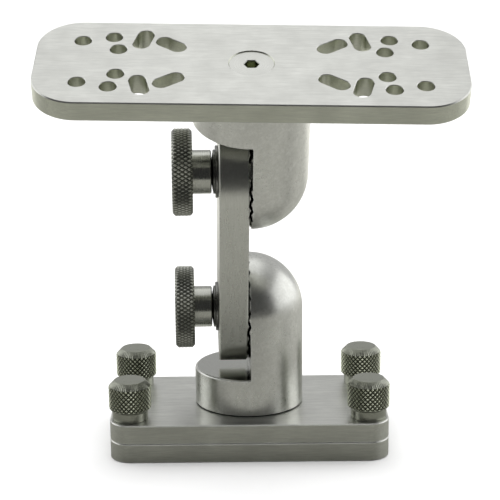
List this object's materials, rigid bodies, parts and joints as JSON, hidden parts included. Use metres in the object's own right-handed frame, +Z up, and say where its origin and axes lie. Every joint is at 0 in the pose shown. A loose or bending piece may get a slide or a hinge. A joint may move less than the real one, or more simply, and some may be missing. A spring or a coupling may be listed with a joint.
{
  "type": "pan tilt camera mount",
  "caption": "Two-axis camera mount: slotted top plate and two-plate base joined by a link arm between toothed tilt knuckles that pan, locked by knurled knobs",
  "frame": {"origin": "centre of the underside of the deck plate", "axes": "+Z up, away from the deck; +X to the right along the base's long side; +Y to the back; the arm and top plate lean towards -Y"},
  "size_m": [0.1813, 0.1247, 0.201],
  "materials": {
    "plate_aluminium": "brushed along its length, satin",
    "knuckle_aluminium": "fine turned and blasted satin",
    "arm_aluminium": "fine milled satin",
    "knob_steel": "knurled stainless steel",
    "thumb_screw_steel": "coarse knurled stainless steel",
    "fastener_steel": "plain stainless steel",
    "spring_steel": "dark spring steel",
    "bronze": "oil filled bronze",
    "friction_plastic": "black acetal"
  },
  "bodies": {
    "base": {"deck_plate": "plate_aluminium", "base_plate": "plate_aluminium", "deck_thread_inserts": "fastener_steel"},
    "lower_head": {"lower_knuckle": "knuckle_aluminium", "lower_thread_insert": "fastener_steel", "lower_pan_screw": "fastener_steel", "lower_pan_washer": "friction_plastic"},
    "lower_clamp": {"lower_flat_washer": "fastener_steel", "lower_cone_washer": "spring_steel", "lower_release_spring": "spring_steel"},
    "lower_knob": {"lower_tilt_knob": "knob_steel", "lower_knob_stud": "fastener_steel"},
    "arm": {"link_arm": "arm_aluminium", "lower_arm_bushing": "bronze", "upper_arm_bushing": "bronze"},
    "upper_clamp": {"upper_flat_washer": "fastener_steel", "upper_cone_washer": "spring_steel", "upper_release_spring": "spring_steel"},
    "upper_knob": {"upper_tilt_knob": "knob_steel", "upper_knob_stud": "fastener_steel"},
    "upper_head": {"upper_knuckle": "knuckle_aluminium", "upper_thread_insert": "fastener_steel", "upper_pan_screw": "fastener_steel", "upper_pan_washer": "friction_plastic"},
    "top": {"top_plate": "plate_aluminium"},
    "thumb_screw_front_left": {"thumb_screw_front_left": "thumb_screw_steel"},
    "thumb_screw_front_right": {"thumb_screw_front_right": "thumb_screw_steel"},
    "thumb_screw_back_left": {"thumb_screw_back_left": "thumb_screw_steel"},
    "thumb_screw_back_right": {"thumb_screw_back_right": "thumb_screw_steel"}
  },
  "joints": [
    {"name": "lower_pan", "type": "hinge", "parent": "base", "child": "lower_head", "pos_m": [0, 0, 0.0646], "axis": [0, 0, 1], "continuous": true},
    {"name": "lower_clamp_travel", "type": "slide", "parent": "lower_head", "child": "lower_clamp", "axis": [0.9994, 0.0349, 0], "range_m": [0, 0.00119], "deforming": ["lower_release_spring"]},
    {"name": "lower_knob_turn", "type": "hinge", "parent": "lower_clamp", "child": "lower_knob", "pos_m": [0, 0, 0.0646], "axis": [0.9994, 0.0349, 0], "range_deg": [0, 270]},
    {"name": "lower_tilt", "type": "hinge", "parent": "lower_clamp", "child": "arm", "pos_m": [0, 0, 0.0646], "axis": [0.9994, 0.0349, 0], "range_deg": [-105, 60]},
    {"name": "upper_tilt", "type": "hinge", "parent": "arm", "child": "upper_clamp", "pos_m": [0.00128, -0.03677, 0.1362], "axis": [-0.9994, -0.0349, 0], "range_deg": [-90, 90]},
    {"name": "upper_knob_turn", "type": "hinge", "parent": "upper_clamp", "child": "upper_knob", "pos_m": [0.00128, -0.03677, 0.1362], "axis": [0.9994, 0.0349, 0], "range_deg": [0, 270]},
    {"name": "upper_clamp_travel", "type": "slide", "parent": "upper_clamp", "child": "upper_head", "axis": [-0.9994, -0.0349, 0], "range_m": [0, 0.00119], "deforming": ["upper_release_spring"]},
    {"name": "upper_pan", "type": "hinge", "parent": "upper_head", "child": "top", "pos_m": [0.00128, -0.03677, 0.1362], "axis": [0.0147, -0.4224, 0.9063], "continuous": true},
    {"name": "front_left_thumb_turn", "type": "hinge", "parent": "base", "child": "thumb_screw_front_left", "pos_m": [-0.05505, -0.0246, 0.018], "axis": [0, 0, 1], "range_deg": [0, 1800]},
    {"name": "front_right_thumb_turn", "type": "hinge", "parent": "base", "child": "thumb_screw_front_right", "pos_m": [0.05505, -0.0246, 0.018], "axis": [0, 0, 1], "range_deg": [0, 1800]},
    {"name": "back_left_thumb_turn", "type": "hinge", "parent": "base", "child": "thumb_screw_back_left", "pos_m": [-0.05505, 0.0246, 0.018], "axis": [0, 0, 1], "range_deg": [0, 1800]},
    {"name": "back_right_thumb_turn", "type": "hinge", "parent": "base", "child": "thumb_screw_back_right", "pos_m": [0.05505, 0.0246, 0.018], "axis": [0, 0, 1], "range_deg": [0, 1800]}
  ],
  "couplings": [
    {"joint": "lower_knob_turn", "follows": "lower_clamp_travel", "rad_per_m": 3960},
    {"joint": "upper_knob_turn", "follows": "upper_clamp_travel", "rad_per_m": 3960}
  ]
}
